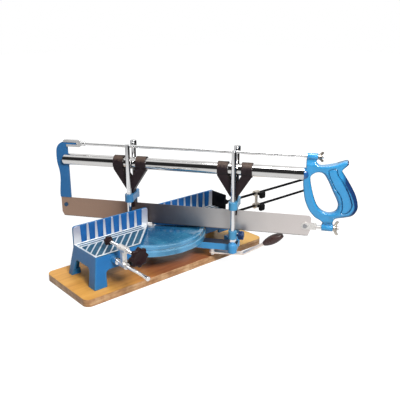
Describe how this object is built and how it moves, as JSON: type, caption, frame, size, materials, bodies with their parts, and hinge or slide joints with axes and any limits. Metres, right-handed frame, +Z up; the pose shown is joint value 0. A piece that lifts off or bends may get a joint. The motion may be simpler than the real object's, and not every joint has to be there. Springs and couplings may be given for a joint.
{
  "type": "manual mitre saw",
  "caption": "Hand mitre saw on a plywood board: ribbed tables with fences, a mitre segment, a swivel arm with telescoping guide posts, a sliding frame saw, a work clamp and a length stop.",
  "frame": {"origin": "on the swivel axis, at the board's underside", "axes": "+X along the fences to the right, +Y to the rear, +Z up"},
  "size_m": [0.7125, 0.5313, 0.2642],
  "materials": {
    "plywood": "clear varnish",
    "blue_paint": "satin stove enamel",
    "blue_gloss": "gloss stove enamel",
    "chrome": "bright plated",
    "zinc_steel": "zinc plated",
    "blade_steel": "satin ground",
    "black_steel": "black oxide",
    "bronze": "sintered",
    "dark_plastic": "moulded, dark brown",
    "black_plastic": "moulded, black",
    "blue_plastic": "moulded, dark blue"
  },
  "bodies": {
    "base": {"board": "plywood", "left_table": "blue_paint", "right_table": "blue_paint", "segment": "blue_paint", "board_screws": "zinc_steel", "segment_screws": "zinc_steel", "pivot_bolt": "zinc_steel", "pivot_washer": "zinc_steel", "pivot_nut": "zinc_steel", "clamp_rod": "chrome", "clamp_rod_collar": "chrome", "stop_rod": "black_steel", "stop_rod_collar": "black_steel"},
    "arm": {"swivel_arm": "blue_paint", "pivot_bush": "bronze", "front_guide_pins": "chrome", "rear_guide_pins": "chrome", "front_seats": "chrome", "rear_seats": "chrome", "lever_bolt": "zinc_steel"},
    "lock_lever": {"lever": "zinc_steel", "lever_grip": "dark_plastic"},
    "carriage": {"front_posts": "chrome", "rear_posts": "chrome", "front_cap": "chrome", "rear_cap": "chrome", "front_plug": "chrome", "rear_plug": "chrome", "cap_screws": "black_steel", "front_carrier": "dark_plastic", "rear_carrier": "dark_plastic", "front_crosshead": "blue_paint", "rear_crosshead": "blue_paint", "front_collars": "blue_paint", "rear_collars": "blue_paint"},
    "front_knob": {"front_depth_knob": "blue_plastic"},
    "rear_knob": {"rear_depth_knob": "blue_plastic"},
    "saw": {"back_tube": "chrome", "bow": "blue_paint", "tension_rod": "chrome", "fork_pin": "zinc_steel", "handle": "blue_gloss", "blade": "blade_steel", "bow_pin_rivet": "zinc_steel", "clevis": "zinc_steel", "clevis_rivet": "zinc_steel"},
    "upper_wing": {"upper_wing_nut": "zinc_steel"},
    "lower_wing": {"lower_wing_nut": "zinc_steel"},
    "clamp": {"clamp_bracket": "zinc_steel"},
    "clamp_lock": {"clamp_lock_screw": "black_plastic"},
    "clamp_foot": {"clamp_pad": "black_plastic"},
    "clamp_screw": {"clamp_spindle": "chrome", "clamp_knob": "black_plastic"},
    "stop": {"stop_slider": "zinc_steel"},
    "stop_screw_low": {"lower_stop_screw": "black_plastic"},
    "stop_screw_up": {"upper_stop_screw": "black_plastic"},
    "stop_arm": {"stop_bar": "black_steel", "stop_plate": "black_steel"}
  },
  "joints": [
    {"name": "swivel", "type": "hinge", "parent": "base", "child": "arm", "pos_m": [0, 0, 0], "axis": [0, 0, 1], "range_deg": [-66, 9]},
    {"name": "lock_lever_turn", "type": "hinge", "parent": "arm", "child": "lock_lever", "pos_m": [0.08229, -0.11326, 0.028], "axis": [0, 0, 1], "range_deg": [-6, 20]},
    {"name": "lift", "type": "slide", "parent": "arm", "child": "carriage", "axis": [0, 0, 1], "range_m": [0, 0.095]},
    {"name": "front_knob_turn", "type": "hinge", "parent": "carriage", "child": "front_knob", "pos_m": [0.09455, -0.16245, 0.0796], "axis": [0.5878, -0.809, 0], "range_deg": [0, 720]},
    {"name": "rear_knob_turn", "type": "hinge", "parent": "carriage", "child": "rear_knob", "pos_m": [-0.03888, 0.02119, 0.0796], "axis": [-0.5878, 0.809, 0], "range_deg": [0, 720]},
    {"name": "stroke", "type": "slide", "parent": "carriage", "child": "saw", "axis": [0.5878, -0.809, 0], "range_m": [-0.1, 0.1]},
    {"name": "upper_wing_turn", "type": "hinge", "parent": "saw", "child": "upper_wing", "pos_m": [0.2069, -0.28477, 0.2537], "axis": [0.5878, -0.809, 0], "range_deg": [0, 1080]},
    {"name": "lower_wing_turn", "type": "hinge", "parent": "saw", "child": "lower_wing", "pos_m": [0.22982, -0.31633, 0.106], "axis": [0.5878, -0.809, 0], "range_deg": [0, 1080]},
    {"name": "clamp_slide", "type": "slide", "parent": "base", "child": "clamp", "axis": [0, 1, 0], "range_m": [-0.03, 0.009]},
    {"name": "clamp_lock_turn", "type": "hinge", "parent": "clamp", "child": "clamp_lock", "pos_m": [-0.147, -0.11533, 0.0675], "axis": [1, 0, 0], "range_deg": [0, 720]},
    {"name": "clamp_feed", "type": "slide", "parent": "clamp", "child": "clamp_foot", "axis": [0, 1, 0], "range_m": [-0.012, 0.027]},
    {"name": "clamp_screw_turn", "type": "hinge", "parent": "clamp_foot", "child": "clamp_screw", "pos_m": [-0.147, -0.11533, 0.101], "axis": [0, 1, 0], "range_deg": [-1440, 3240]},
    {"name": "stop_slide", "type": "slide", "parent": "base", "child": "stop", "axis": [1, 0, 0], "range_m": [-0.04, 0.15]},
    {"name": "stop_low_turn", "type": "hinge", "parent": "stop", "child": "stop_screw_low", "pos_m": [0.294, -0.04, 0.0675], "axis": [0, -1, 0], "range_deg": [0, 720]},
    {"name": "stop_up_turn", "type": "hinge", "parent": "stop", "child": "stop_screw_up", "pos_m": [0.294, -0.04, 0.0995], "axis": [0, -1, 0], "range_deg": [0, 720]},
    {"name": "stop_reach", "type": "slide", "parent": "stop", "child": "stop_arm", "axis": [1, 0, 0], "range_m": [-0.053, 0.087]}
  ],
  "couplings": [
    {"joint": "clamp_feed", "follows": "clamp_screw_turn", "m_per_rad": 0.00047746}
  ]
}
